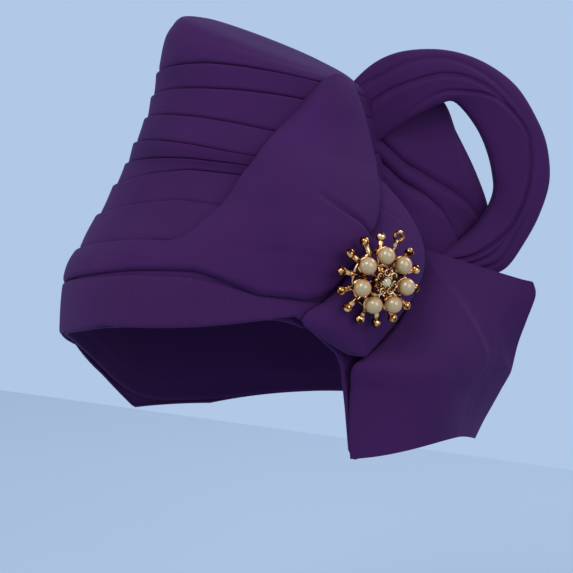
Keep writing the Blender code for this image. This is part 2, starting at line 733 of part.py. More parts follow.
def build_brooch_pin(finish):
    """The hidden pin bar behind the brooch, one plain piece."""
    work = bmesh.new()
    start = on_dial(PIN_ANGLE, PIN_LENGTH / 2, PIN_SET_BACK)
    end = on_dial(PIN_ANGLE + 180.0, PIN_LENGTH / 2, PIN_SET_BACK)
    add_rod(work, start, end, PIN_DIAMETER, 8)
    mesh = bpy.data.meshes.new("brooch_pin")
    work.to_mesh(mesh)
    work.free()
    made = put_in_scene("brooch_pin", mesh, finish)
    made.matrix_world = brooch_matrix()
    return made


def build():
    """Clear the scene and model the whole hat."""
    for old in list(bpy.data.objects):
        bpy.data.objects.remove(old, do_unlink=True)
    cloth = material("aubergine_cloth", (0.045, 0.014, 0.085), 0.75, sheen=0.3)
    gold = material("polished_gold", (0.83, 0.60, 0.28), 0.15, metallic=1.0)
    pearl = material("cream_pearl", (0.90, 0.82, 0.70), 0.2)
    crystal = material("clear_stone", (0.92, 0.93, 0.95), 0.05)
    build_base_cap(cloth)
    build_front_band(cloth)
    build_crown(cloth)
    build_wrap_panel(cloth)
    build_knot(cloth)
    build_bow_loop(cloth)
    build_bow_leaf(cloth)
    build_bow_tail(cloth)
    build_brooch_frame(gold)
    build_pearls(pearl)
    build_centre_stone(crystal)
    build_brooch_pin(gold)


build()
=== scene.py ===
# %% [markdown]
# # A pre-tied turban hat with a bow and a pearl brooch
# A turban of this kind isn't wound by the wearer. It is a close cap with a plain band round its rim,
# a tall pleated crown sewn to the band, and one wide panel that sweeps up the crown and back into a
# knot, from which a stiff bow loop, a leaf of cloth and a flared tail come. The solids of the CAD
# model give the place of each piece. This script dresses them: each cloth piece is laid again as a
# fine sheet over the same form, with its folds, and the brooch gets its metal, pearls and stone.

# %% Load the frame
from math import asin, cos, degrees, exp, pi, radians, sin, tanh

import bmesh
import bpy
import numpy as np
from mathutils import Matrix, Vector


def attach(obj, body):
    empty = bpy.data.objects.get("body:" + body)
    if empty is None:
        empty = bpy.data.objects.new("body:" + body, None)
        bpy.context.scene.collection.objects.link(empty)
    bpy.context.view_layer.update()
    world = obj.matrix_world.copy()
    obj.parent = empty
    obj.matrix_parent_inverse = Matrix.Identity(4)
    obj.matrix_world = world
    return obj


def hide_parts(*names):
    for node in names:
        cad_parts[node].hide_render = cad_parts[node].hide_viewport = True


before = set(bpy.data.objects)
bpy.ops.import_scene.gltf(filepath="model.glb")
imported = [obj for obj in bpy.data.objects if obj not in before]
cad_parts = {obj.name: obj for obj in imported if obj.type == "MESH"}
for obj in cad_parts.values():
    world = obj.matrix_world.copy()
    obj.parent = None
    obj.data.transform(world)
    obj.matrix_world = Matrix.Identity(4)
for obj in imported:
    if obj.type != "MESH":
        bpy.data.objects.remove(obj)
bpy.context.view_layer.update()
MM = 0.001

# %% [markdown]
# The camera stands in front of the wearer's left side and a little above the hat, as the
# photographer of a milliner's catalogue would. A long lens from 1.2 m keeps the tall crown upright.

# %% Camera
CAMERA_PLACE = Vector((0.7732, -0.9084, 0.1454))
CAMERA_AIM = Vector((0.0136, -0.0031, -0.0630))
camera_data = bpy.data.cameras.new("catalogue_camera")
camera_data.lens = 165.86
camera_data.sensor_width = 36.0
camera = bpy.data.objects.new("catalogue_camera", camera_data)
bpy.context.scene.collection.objects.link(camera)
camera.location = CAMERA_PLACE
camera.rotation_euler = (CAMERA_AIM - CAMERA_PLACE).to_track_quat("-Z", "Y").to_euler()
bpy.context.scene.camera = camera
bpy.context.scene.view_settings.view_transform = "Standard"
print("camera is", round((CAMERA_AIM - CAMERA_PLACE).length, 3), "m from its aim")

# %% [markdown]
# All cloth lies on one form: a stack of leaning ovals that starts at the nape and ends at the flat
# top of the crown. A table of ovals is quicker to correct than a sculpted surface, and a place on it
# has only two numbers: the angle round the head from the front, and the level in the table.

# %% The hat's form
# Columns: height, half_width, front, back, centre_y, fall_back, fall_left. A row is one oval.
HAT_SECTIONS = (
    (-145.0, 74.8, 94.0, 94.0, -15.0, 0.25, -0.08),
    (-107.5, 76.0, 95.0, 95.0, -15.0, 0.25, -0.08),
    (-70.0, 76.2, 92.0, 96.2, -15.0, 0.25, -0.07),
    (-50.3, 75.4, 79.5, 98.0, -14.0, 0.25, -0.06),
    (-33.3, 69.6, 65.0, 96.0, -10.0, 0.25, -0.03),
    (-18.9, 62.0, 57.0, 90.0, -8.0, 0.25, -0.02),
    (-7.6, 54.5, 55.5, 80.0, -7.0, 0.25, 0.0),
    (4.6, 50.0, 52.0, 62.0, -5.0, 0.25, 0.0),
    (18.3, 48.0, 48.0, 53.0, -4.0, 0.25, -0.02),
    (27.8, 46.0, 47.0, 48.0, -3.0, 0.25, 0.0),
    (39.0, 43.4, 44.5, 44.0, -2.5, 0.25, 0.14),
    (46.0, 37.8, 38.5, 38.5, -2.0, 0.25, 0.25),
    (48.4, 28.0, 28.0, 28.0, -1.0, 0.25, 0.29),
)
LAST_SECTION = len(HAT_SECTIONS) - 1


def smooth(table, at):
    """Every column of a table at a row number that may fall between rows, without kinks."""
    rows = np.asarray(table, dtype=float)
    last = len(rows) - 1
    at = min(max(at, 0.0), float(last))
    index = min(int(at), last - 1)
    share = at - index
    before, start, end, after = (rows[min(max(index + step, 0), last)] for step in (-1, 0, 1, 2))
    leave = (end - before) / 2
    arrive = (after - start) / 2
    return ((2 * share**3 - 3 * share**2 + 1) * start + (share**3 - 2 * share**2 + share) * leave
            + (3 * share**2 - 2 * share**3) * end + (share**3 - share**2) * arrive)


def blend(start, end, share):
    """The value or point that lies a share of the way from start to end."""
    return start + (end - start) * share


def smooth_hat(angle, level):
    """A point on the hat's plain outer form, before pleats."""
    height, half_width, front, back, centre_y, fall_back, fall_left = smooth(HAT_SECTIONS, level)
    turn = radians(angle)
    half_length = front if cos(turn) > 0 else back
    x = half_width * sin(turn)
    back_from_centre = -half_length * cos(turn)
    return np.array((x, centre_y + back_from_centre, height - fall_back * back_from_centre - fall_left * x))


def hat_point(angle, level, lift=0.0):
    """A point that stands off the hat's plain outer form by lift."""
    small = 0.05
    across = smooth_hat(angle + 1.0, level) - smooth_hat(angle - 1.0, level)
    low = max(level - small, 0.0)
    upwards = smooth_hat(angle, min(level + small, LAST_SECTION)) - smooth_hat(angle, low)
    outward = np.cross(across, upwards)
    return smooth_hat(angle, level) + outward / np.linalg.norm(outward) * lift


print("the form leans back by", round(degrees(np.arctan(HAT_SECTIONS[2][5])), 1), "degrees")

# %% [markdown]
# The cap under everything is a dome of its own, close to the head. Its oval is 143 by 181 mm inside.

# %% The head's form
HEAD_HALF_WIDTH = 71.5
HEAD_HALF_LENGTH = 90.5
HEAD_DEPTH = 78.0
HEAD_CENTRE_Y = -15.0
NECK_TAPER = 0.05


def cap_point(angle, rise, lift):
    """A point on the head form: rise is 0 at its widest level and 90 at its top."""
    turn = radians(angle)
    tilt = radians(rise)
    if rise >= 0:
        share = cos(tilt)
        height = -HEAD_DEPTH * (1 - sin(tilt))
        centre = HEAD_CENTRE_Y * (1 - sin(tilt))
    else:
        share = 1 - NECK_TAPER * tilt**2
        height = HEAD_DEPTH * (tilt - 1)
        centre = HEAD_CENTRE_Y
    half_width = HEAD_HALF_WIDTH * share + lift * cos(tilt)
    half_length = HEAD_HALF_LENGTH * share + lift * cos(tilt)
    return np.array((half_width * sin(turn), centre - half_length * cos(turn),
                     height + max(sin(tilt), 0.0) * lift))


def rise_at(height):
    """The rise on the head form that has a given height."""
    above = 1 + height / HEAD_DEPTH
    return degrees(asin(above)) if above >= 0 else degrees(above)


print("the cap is", 2 * HEAD_HALF_WIDTH, "by", 2 * HEAD_HALF_LENGTH, "mm inside")

# %% [markdown]
# The bow stands in a plane of its own behind the knot. A place on it is written along that plane,
# up, and forward of it, so that the loop can be drawn flat, as a pattern cutter would draw it.

# %% The bow's plane
BOW_FOOT = (46.0, 26.0, -50.0)
BOW_TURN = 50.0
BOW_ALONG = np.array((cos(radians(BOW_TURN)), sin(radians(BOW_TURN)), 0.0))
BOW_FACING = np.array((sin(radians(BOW_TURN)), -cos(radians(BOW_TURN)), 0.0))


def bow_point(along, up, depth):
    """A point in the bow's own plane: out along it, up, and forward of it."""
    return np.array(BOW_FOOT) + along * BOW_ALONG + depth * BOW_FACING + np.array((0.0, 0.0, up))


print("the bow's plane is turned", BOW_TURN, "degrees")

# %% [markdown]
# Every cloth piece starts as a flat grid of small squares, which is what woven or knitted cloth is.
# Blender's grid operator makes it, and each of its points is then moved to its place on the form.
# The flat places are kept as a UV map in millimetres, so that ribs and yarn follow the cloth.
# A ring of cloth is a grid whose two ends meet, so they are merged; a dome's top row is merged too.

# %% Laying a grid of cloth
def as_piece(name, work):
    """What was modelled, as a smooth object at the origin."""
    mesh = bpy.data.meshes.new(name)
    work.to_mesh(mesh)
    work.free()
    mesh.shade_smooth()
    piece = bpy.data.objects.new(name, mesh)
    bpy.context.scene.collection.objects.link(piece)
    print(name, "has", len(mesh.polygons), "faces")
    return piece


def lay_cloth(name, columns, rows, place, cut, middle=None):
    """A grid laid by place(u, v), with u and v from 0 to 1. Its faces look away from middle, in mm."""
    work = bmesh.new()
    bmesh.ops.create_grid(work, x_segments=columns, y_segments=rows, size=0.5)
    flat = work.loops.layers.uv.new("cut")
    for face in work.faces:
        for loop in face.loops:
            loop[flat].uv = ((loop.vert.co.x + 0.5) * cut[0], (loop.vert.co.y + 0.5) * cut[1])
    for point in work.verts:
        point.co = Vector(place(point.co.x + 0.5, point.co.y + 0.5)) * MM
    bmesh.ops.remove_doubles(work, verts=work.verts, dist=0.002 * MM)
    bmesh.ops.recalc_face_normals(work, faces=work.faces)
    if middle is not None:
        inner = Vector(middle) * MM
        facing = sum((face.calc_center_median() - inner).dot(face.normal) * face.calc_area()
                     for face in work.faces)
        if facing < 0:
            bmesh.ops.reverse_faces(work, faces=work.faces)
    return as_piece(name, work)


def thicken(piece, cloth):
    """Give a sheet its thickness, inwards from the laid side."""
    wall = piece.modifiers.new("cloth thickness", "SOLIDIFY")
    wall.thickness = cloth * MM
    wall.offset = -1.0
    wall.use_even_offset = False


def edge_spread(share):
    """Rows set closer together towards both edges, where the cloth rolls over."""
    return 0.5 - 0.5 * cos(pi * share)


def rolled(distance, radius):
    """How much of its height cloth has at a distance in mm from a rolled edge."""
    near = min(max(distance / radius, 0.0), 1.0)
    return (1 - (1 - near) ** 2) ** 0.5


def fold_lip(below, width):
    """The height of a fold at a distance in mm below its line: a crevice above it, then a lip."""
    ratio = below / width
    step = 0.5 + 0.5 * tanh(1.6 * (ratio - 0.6))
    return step * exp(-max(ratio, 0.0) / 7.0) - 0.7 * exp(-(ratio + 0.2) ** 2)


LEVEL_STEP = 15.0


def path_fold(angle, level, path, width):
    """The height of a fold on the hat whose line is a path of angles, levels and heights."""
    angles, levels, heights = zip(*path)
    below = (float(np.interp(angle, angles, levels)) - level) * LEVEL_STEP
    return float(np.interp(angle, angles, heights, left=0.0, right=0.0)) * fold_lip(below, width)


SLIM_TURN = -50.0
SLIM_LEVEL = 3.0
SLIM_HEIGHT = 1.6
SLIM_DEPTH = 3.6


def slimming(angle, level):
    """How far the cloth is drawn in on the wearer's right, where the lowest pleats are pulled tight."""
    side = max(cos(radians(angle - SLIM_TURN)), 0.0)
    return SLIM_DEPTH * side * exp(-((level - SLIM_LEVEL) / SLIM_HEIGHT) ** 2)


print("a roll of 2 mm is", round(rolled(1.0, 2.0), 2), "high at half its width")

# %% [markdown]
# The close cap is cut from stretch cloth and carries everything. Little of it shows: the inside, and a
# narrow strip in front of the tail. It is a dome laid from its rim to its top, and its hem stands a
# little proud, as a turned-in edge does.

# %% Close cap
# Columns: angle, cap_height, band_height.
RIM = (
    (-180.0, -128.0, -128.0),
    (-120.0, -133.0, -133.0),
    (-92.0, -128.0, -128.0),
    (-78.0, -110.0, -110.0),
    (-62.0, -92.0, -92.0),
    (-43.0, -82.0, -82.0),
    (0.0, -69.0, -69.0),
    (33.0, -67.0, -67.0),
    (61.0, -64.0, -64.0),
    (77.5, -84.0, -82.0),
    (82.5, -132.0, -84.0),
    (110.0, -131.0, -90.0),
    (140.0, -129.0, -112.0),
    (180.0, -128.0, -128.0),
)
HEAD_MIDDLE = (0.0, -15.0, -90.0)
CAP_CLOTH = 1.5
BAND_OVERHANG = 1.0
HEM_WIDTH = 9.0
HEM_RISE = 0.35
SOFTEN = (-10.0, -7.5, -5.0, -2.5, 0.0, 2.5, 5.0, 7.5, 10.0)
TEMPLE_START = 66.0
TEMPLE_END = 94.0


def rim_height(angle, band=False):
    """Height of the cap's lower edge, or of the band's, at an angle round the head."""
    angles = [row[0] for row in RIM]
    heights = [row[2] if band else row[1] for row in RIM]
    return float(np.interp((angle + 180.0) % 360.0 - 180.0, angles, heights))


def soft_rim(angle):
    """The cap's lower edge without corners, but for the drop at the temple."""
    if TEMPLE_START < angle < TEMPLE_END:
        return rim_height(angle)
    return sum(rim_height(angle + step) for step in SOFTEN) / len(SOFTEN)


def place_cap(u, v):
    angle = 360.0 * u - 180.0
    low = rise_at(soft_rim(angle) + BAND_OVERHANG)
    rise = blend(low, 90.0, v)
    above_rim = (rise - low) * radians(1.0) * HEAD_DEPTH
    hem = HEM_RISE if above_rim < HEM_WIDTH else 0.0
    return cap_point(angle, rise, CAP_CLOTH - HEM_RISE + hem)


base_cap = lay_cloth("close_cap", 180, 90, place_cap, (510.0, 170.0), HEAD_MIDDLE)
thicken(base_cap, CAP_CLOTH)

# %% [markdown]
# The pleats aren't level: each crease dips at the wearer's right, where the cloth is pulled, and is
# highest over the forehead. A row of the table is one crease, and its columns say at which level it
# lies at six angles of the front. Behind these it comes back to the level that it is named for.

# %% Where the creases lie
CREASE_ANGLES = (-50.0, -30.0, -10.0, 10.0, 30.0, 50.0)
CREASE_LEVELS = {
    2.0: (1.92, 1.97, 2.02, 2.11, 2.15, 1.97),
    3.0: (2.77, 2.80, 2.93, 3.06, 3.04, 3.04),
    4.0: (3.65, 3.70, 3.93, 4.13, 4.06, 4.00),
    5.0: (4.45, 4.54, 4.85, 5.09, 5.10, 5.10),
    5.45: (5.18, 5.27, 5.41, 5.51, 5.52, 5.50),
    6.0: (6.00, 6.05, 6.10, 6.07, 5.97, 5.93),
    7.0: (6.93, 7.00, 7.07, 7.08, 7.04, 6.96),
    8.0: (7.70, 7.80, 7.95, 8.03, 8.10, 8.13),
    9.0: (8.75, 8.86, 9.04, 9.21, 9.29, 9.30),
}
CREASES = tuple(CREASE_LEVELS)
CREASES_END = 125.0


def crease_level(crease, angle):
    """The level of a crease at an angle."""
    levels = (crease, *CREASE_LEVELS[crease], crease)
    turned = (angle + 180.0) % 360.0 - 180.0
    return float(np.interp(turned, (-CREASES_END, *CREASE_ANGLES, CREASES_END), levels))


def drawn_level(level, angle):
    """A level after the creases near it have been drawn up or down."""
    nominal = (1.0, *CREASES, 10.0)
    drawn = (1.0, *[crease_level(crease, angle) for crease in CREASES], 10.0)
    return float(np.interp(level, nominal, drawn)) if 1.0 < level < 10.0 else level


print("the lowest crease climbs", round(crease_level(2.0, 30.0) - crease_level(2.0, -50.0), 2), "levels")

# %% [markdown]
# The front band is a plain strip of the same cloth, folded double, with its knit ribs upright. Its
# lower edge is the fold, so it is round; a row of stitches isn't seen. Round the back it carries on
# to the nape.

# %% Front band
BAND_TOP = 2.0
BAND_CLOTH = 2.6
BAND_LENGTH = 560.0
BAND_DEPTH = 60.0
LOWER_ROLL = 2.0
UPPER_ROLL = 1.2
ROLL_DEPTH = 1.3
BAND_SLIMMING = 0.6
BAND_WALL_SHARE = 0.55
SECTION_STEP = HAT_SECTIONS[2][0] - HAT_SECTIONS[1][0]


def band_level(angle):
    """The level of the band's lower edge at an angle."""
    top = smooth_hat(angle, BAND_TOP)
    return BAND_TOP - (top[2] - rim_height(angle, band=True)) / SECTION_STEP


def place_band(u, v):
    angle = 360.0 * u - 180.0
    share = edge_spread(v)
    low = band_level(angle)
    depth = (BAND_TOP - low) * SECTION_STEP
    roll = rolled(share * depth, LOWER_ROLL) * rolled((1 - share) * depth, UPPER_ROLL)
    level = blend(low, crease_level(BAND_TOP, angle) - 0.01, share)
    return hat_point(angle, level, -ROLL_DEPTH * (1 - roll) - BAND_SLIMMING * slimming(angle, level))


front_band = lay_cloth("ribbed_band", 300, 40, place_band, (BAND_LENGTH, BAND_DEPTH), HEAD_MIDDLE)
thicken(front_band, BAND_CLOTH * BAND_WALL_SHARE)

# %% [markdown]
# The crown is sewn from overlapping pleats. Each one swells, rolls over its upper edge and drops into
# a narrow crease, which is what makes the fine lines across the front. One profile repeated between
# the levels of the creases makes them all, and the drawn creases keep them from looking turned on a
# lathe. The flat top is one more run of rows that closes on a middle point.

# %% Pleated crown
CREASE_DEPTH = 1.2
PLEAT_RISE = 1.5
CROWN_TOP = 12.0
TOP_SINK = 1.4
CROWN_START = 1.85
CROWN_STOPS = (CROWN_START, *CREASES, 9.6, 10.4, 11.2, CROWN_TOP)
ROWS_PER_PLEAT = 18
PLEAT_ROLL = 0.14
CREASE_ROLL = 0.06
TOP_FADE = 2.2


def pleat_lift(level):
    """How far the cloth stands off the plain form at a level, counted before the creases are drawn."""
    if level >= CREASES[-1]:
        above = level - CREASES[-1]
        edge = -CREASE_DEPTH + (CREASE_DEPTH + 0.5 * PLEAT_RISE) * rolled(above, 0.3)
        return edge * exp(-(above / TOP_FADE) ** 2) - TOP_SINK * min(above / 1.4, 1.0) ** 2
    for low, high in zip((CROWN_START, *CREASES[:-1]), CREASES):
        if level < high:
            share = (level - low) / (high - low)
            top = PLEAT_RISE if low > BAND_TOP else -0.5
            rising = rolled(share, PLEAT_ROLL) * blend(0.5, 1.0, share)
            return -CREASE_DEPTH + (CREASE_DEPTH + top) * min(rising, 1.0) * rolled(1 - share, CREASE_ROLL)
    return 0.0


def place_crown(u, v):
    angle = 360.0 * u - 180.0
    place = v * len(CROWN_STOPS)
    index = min(int(place), len(CROWN_STOPS) - 1)
    if index < len(CROWN_STOPS) - 1:
        share = place - index
        if CROWN_STOPS[index + 1] <= CREASES[-1]:
            share = edge_spread(share)
        level = blend(CROWN_STOPS[index], CROWN_STOPS[index + 1], share)
        return hat_point(angle, drawn_level(level, angle), pleat_lift(level) - slimming(angle, level))
    share = place - index
    edge = hat_point(angle, CROWN_TOP, -TOP_SINK)
    middle = np.array((0.0, HAT_SECTIONS[-1][4], HAT_SECTIONS[-1][0]))
    return blend(edge, middle, share)


CROWN_ROWS = ROWS_PER_PLEAT * len(CROWN_STOPS)
crown = lay_cloth("pleated_crown", 200, CROWN_ROWS, place_crown, (400.0, 260.0), (0.0, 0.0, -30.0))

# %% [markdown]
# The wrap panel is the wide front piece. It starts flat on the wearer's right side, climbs to the top
# of the crown and is drawn together at the temple, so it puffs out above a fold that runs into the
# knot. A row of its table is one line across the cloth, from the low edge to the high one. Two more
# tables hold the line that the puff hangs over and the path of the fold.

# %% Wrap panel
# Columns: low_angle, low_level, top_angle, top_level, bulge.
PANEL = (
    (-125.0, 2.2, -125.0, 2.6, 0.0),
    (-85.0, 2.1, -85.0, 2.85, 0.3),
    (-45.0, 2.1, -45.0, 2.9, 0.5),
    (-5.0, 2.15, -2.0, 3.0, 0.6),
    (20.0, 2.2, 19.0, 3.05, 0.8),
    (32.0, 2.2, 25.0, 3.6, 2.0),
    (40.0, 2.15, 29.0, 4.3, 4.5),
    (47.0, 2.1, 33.0, 5.13, 8.0),
    (54.0, 2.1, 40.0, 5.95, 10.0),
    (60.0, 2.1, 49.0, 7.0, 10.4),
    (64.0, 2.1, 60.0, 7.85, 9.4),
    (68.5, 2.2, 71.0, 9.0, 8.4),
    (72.0, 2.4, 79.0, 9.8, 8.4),
    (75.0, 2.75, 89.0, 9.4, 8.0),
    (77.0, 3.0, 96.0, 8.25, 7.0),
    (78.5, 3.2, 100.0, 7.3, 6.4),
    (79.5, 3.4, 98.5, 6.4, 4.6),
    (80.0, 3.6, 96.0, 5.8, 2.6),
)
PANEL_CLOTH = 2.4
PLEAT_CLEARANCE = 0.8
KNOT_BASE = PLEAT_RISE + PLEAT_CLEARANCE
LOW_PANEL_BASE = 0.75
PANEL_LAP = 0.1
WELT = 0.5
# Columns: angle, level, share of the puff that is lost below it.
PANEL_PUFF = (
    (24.0, 4.2, 0.0),
    (33.0, 3.95, 0.7),
    (40.0, 3.75, 1.0),
    (46.0, 3.5, 1.0),
    (55.0, 3.0, 1.0),
    (62.0, 2.55, 1.0),
    (70.0, 2.3, 0.7),
    (78.0, 2.3, 0.0),
)
PUFF_ROUNDING = 9.0
# Columns: angle, level, height of the fold.
PANEL_FOLD = (
    (56.0, 4.35, 0.0),
    (60.0, 4.25, 0.8),
    (66.0, 4.08, 2.0),
    (74.0, 3.85, 3.0),
    (79.0, 3.62, 3.4),
    (90.0, 3.4, 3.4),
)
FOLD_ROUNDING = 1.4
PANEL_ROLL = 2.4
FOLD_MARGIN = 6.0
END_LENGTH = 60.0
FLAT_ROWS = 5.0
TUCKED_UNDER = -0.8


def panel_base(level):
    """How far the panel's inner side stands off the plain form: it lies closer below the pleats."""
    above = min(max((level - BAND_TOP - 0.85) / 0.45, 0.0), 1.0)
    return blend(LOW_PANEL_BASE, KNOT_BASE, above)


def puffed(angle, level):
    """The share of the panel's puff at a place: it hangs over the part that is drawn to the knot."""
    angles, levels, weights = zip(*PANEL_PUFF)
    above = (level - float(np.interp(angle, angles, levels))) * LEVEL_STEP
    return 1 - float(np.interp(angle, angles, weights)) * (0.5 - 0.5 * tanh(above / PUFF_ROUNDING))


def place_panel(u, v):
    at = u * (len(PANEL) - 1)
    low_angle, low_level, top_angle, top_level, bulge = smooth(PANEL, at)
    near_band = min(max((2.9 - low_level) / 0.6, 0.0), 1.0)
    low_level += near_band * (crease_level(BAND_TOP, low_angle) - BAND_TOP - PANEL_LAP)
    if at < FLAT_ROWS:
        top_level = blend(drawn_level(top_level, top_angle), top_level, at / FLAT_ROWS)
    share = edge_spread(v)
    angle = blend(low_angle, top_angle, share)
    level = blend(low_level, top_level, share)
    length = np.linalg.norm(smooth_hat(low_angle, low_level) - smooth_hat(top_angle, top_level))
    from_low = share * length
    from_top = (1 - share) * length
    rise = bulge * sin(pi * share) ** 0.7 * puffed(angle, level)
    fold = path_fold(angle, level, PANEL_FOLD, FOLD_ROUNDING)
    rise += fold * rolled(from_low, FOLD_MARGIN) * rolled(from_top, FOLD_MARGIN)
    roll = rolled(from_low, PANEL_ROLL) * rolled(from_top, PANEL_ROLL)
    tail_end = rolled((1 - u) * END_LENGTH, PANEL_ROLL)
    begun = min(max((at - 2.5) / 4.0, 0.0), 1.0)
    welt = WELT * begun * exp(-((from_top - 2.0) / 1.0) ** 2)
    height = blend(1.0, panel_base(level) + PANEL_CLOTH, begun) + rise + welt
    return hat_point(angle, level, blend(TUCKED_UNDER, height, roll * tail_end) - slimming(angle, level))


wrap_panel = lay_cloth("crossing_panel", 220, 130, place_panel, (330.0, 110.0), (0.0, 0.0, -50.0))

# %% [markdown]
# The knot is a strap of doubled cloth wound across the gathered end of the panel and stuffed, and it
# is what the brooch is pinned to. Only its face can be seen, so that is laid, rounded over at its
# sides and its ends. Two pleats run out of its upper end, each along a path of places.

# %% Knot
# Columns: left_angle, left_level, right_angle, right_level, thickness.
KNOT = (
    (95.0, 6.2, 100.0, 5.9, 3.0),
    (88.0, 5.3, 102.0, 5.4, 5.0),
    (82.0, 4.35, 107.0, 4.85, 7.5),
    (79.5, 3.4, 111.0, 4.1, 9.2),
    (76.5, 2.8, 111.5, 3.4, 10.0),
    (74.0, 2.35, 108.0, 2.8, 9.5),
    (69.0, 2.0, 104.0, 2.3, 8.5),
    (64.0, 1.82, 98.0, 1.95, 7.0),
    (63.0, 1.66, 91.0, 1.66, 5.5),
    (70.0, 1.5, 87.0, 1.5, 4.0),
    (77.5, 1.38, 83.5, 1.38, 3.0),
)
# Each pleat is a path whose columns are angle, level and height.
KNOT_PLEATS = (
    ((84.0, 4.75, 1.2), (88.5, 4.45, 1.2), (95.0, 3.95, 1.0), (101.0, 3.4, 0.0)),
    ((84.0, 5.3, 1.4), (92.0, 4.9, 1.4), (99.0, 4.35, 1.2), (106.0, 3.5, 0.0)),
)
PLEAT_ROUNDING = 0.8
KNOT_LENGTH = 90.0
KNOT_ROLL = 3.0


def place_knot(u, v):
    left_angle, left_level, right_angle, right_level, thickness = smooth(KNOT, v * (len(KNOT) - 1))
    share = edge_spread(u)
    ends = rolled(v * KNOT_LENGTH, KNOT_ROLL) * rolled((1 - v) * KNOT_LENGTH, KNOT_ROLL)
    rounding = sin(pi * share) ** 0.5
    angle = blend(left_angle, right_angle, share)
    level = blend(left_level, right_level, share)
    pleats = sum(path_fold(angle, level, path, PLEAT_ROUNDING) for path in KNOT_PLEATS) * rounding
    depth = thickness * (0.05 + 0.95 * rounding) + pleats
    return hat_point(angle, level, KNOT_BASE - 1.0 + (depth + 1.0) * ends * (0.1 + 0.9 * rounding))


knot = lay_cloth("wound_knot", 90, 130, place_knot, (60.0, 95.0), (40.0, 0.0, -50.0))

# %% [markdown]
# The bow loop is a wide band folded in three along its length and bent into an upright ring. Its
# folds show as fine lines that follow the ring, so the band's cross-section is stepped where one
# layer ends on the next. The table gives the ring's outer and inner edge, and where the steps lie.

# %% Bow loop
# Columns: outer_along, outer_up, inner_along, inner_up, depth, thickness, and then the place across
# the band and the height of each of three folds.
LOOP = (
    (31.0, -8.0, 25.0, 2.0, 6.4, 7.0, 0.72, 1.0, 0.45, 0.8, 0.25, 0.6),
    (46.0, -9.0, 34.0, 7.0, 4.0, 9.0, 0.62, 1.5, 0.45, 1.0, 0.25, 0.9),
    (57.0, -6.0, 42.0, 13.0, 2.0, 10.0, 0.60, 1.8, 0.44, 1.1, 0.24, 1.1),
    (66.0, 5.0, 48.5, 21.0, 0.0, 11.0, 0.49, 1.9, 0.42, 0.3, 0.29, 1.0),
    (73.0, 18.0, 51.5, 29.0, 0.0, 11.0, 0.45, 1.9, 0.42, 0.0, 0.28, 0.2),
    (77.5, 33.0, 51.0, 37.0, 0.0, 11.0, 0.41, 1.9, 0.40, 0.0, 0.27, 0.0),
    (76.5, 48.0, 48.5, 47.0, 0.0, 11.0, 0.34, 1.9, 0.36, 0.0, 0.22, 0.0),
    (72.0, 61.0, 44.0, 57.0, 0.0, 11.0, 0.30, 1.9, 0.34, 0.0, 0.20, 0.1),
    (62.0, 77.0, 37.0, 66.5, 0.0, 11.0, 0.46, 1.8, 0.38, 1.2, 0.24, 1.0),
    (47.0, 88.0, 31.0, 71.0, 0.0, 11.0, 0.73, 1.4, 0.43, 1.7, 0.21, 1.5),
    (30.0, 93.5, 24.5, 69.5, 0.0, 11.0, 0.76, 1.0, 0.43, 1.7, 0.15, 1.4),
    (12.0, 93.5, 15.5, 65.0, -1.0, 10.0, 0.85, 0.4, 0.47, 1.6, 0.17, 1.2),
    (-1.0, 89.0, 7.0, 59.5, -3.0, 9.0, 0.90, 0.0, 0.46, 1.6, 0.21, 1.4),
    (-12.0, 80.0, 0.0, 54.5, -4.0, 7.0, 0.90, 0.0, 0.44, 1.4, 0.14, 1.2),
    (-18.0, 71.0, -6.0, 50.0, -4.0, 6.0, 0.90, 0.0, 0.44, 1.0, 0.14, 1.0),
)
LOOP_ROUNDING = 1.1
LOOP_LEAN = 4.0


def place_loop(u, v):
    row = smooth(LOOP, u * (len(LOOP) - 1))
    outer_along, outer_up, inner_along, inner_up, depth, thickness = row[:6]
    lean = LOOP_LEAN * min(max((outer_up - 50.0) / 40.0, 0.0), 1.0)
    outer = bow_point(outer_along, outer_up, depth - lean)
    inner = bow_point(inner_along, inner_up, depth + 0.4 * lean)
    turn = 2 * pi * v
    across = 0.5 - 0.5 * cos(turn)
    flat = np.sign(sin(turn)) * abs(sin(turn)) ** 0.6
    width = np.linalg.norm(outer - inner)
    folds = sum(row[at + 1] * fold_lip((across - row[at]) * width, LOOP_ROUNDING) for at in (6, 8, 10))
    fold = folds * abs(sin(turn)) ** 0.5 * np.sign(flat)
    return blend(outer, inner, across) + BOW_FACING * (flat * thickness / 2 + fold)


bow_loop = lay_cloth("standing_loop", 240, 190, place_loop, (330.0, 90.0))

# %% [markdown]
# The leaf is the end of the panel, folded like a fan and tucked between the loop and the crown. Its
# folds start narrow and deep at the knot and open towards the free edge.

# %% Leaf
# Columns: top_along, top_up, top_depth, low_along, low_up, low_depth, bow_out.
LEAF = (
    (-15.0, 50.0, -3.0, 12.0, -4.0, 7.0, 3.0),
    (-4.0, 61.0, -7.0, 26.0, -1.0, 4.0, 3.0),
    (12.0, 70.0, -10.0, 37.0, 3.0, -3.0, 3.0),
    (26.8, 72.0, -9.5, 43.0, 7.0, -6.5, 3.0),
    (34.2, 57.0, -9.0, 47.0, 10.0, -7.5, 2.0),
    (41.8, 42.0, -9.0, 50.0, 13.0, -8.0, 1.0),
    (48.2, 27.0, -9.0, 51.5, 16.0, -8.0, 0.0),
)
LEAF_CLOTH = 1.6
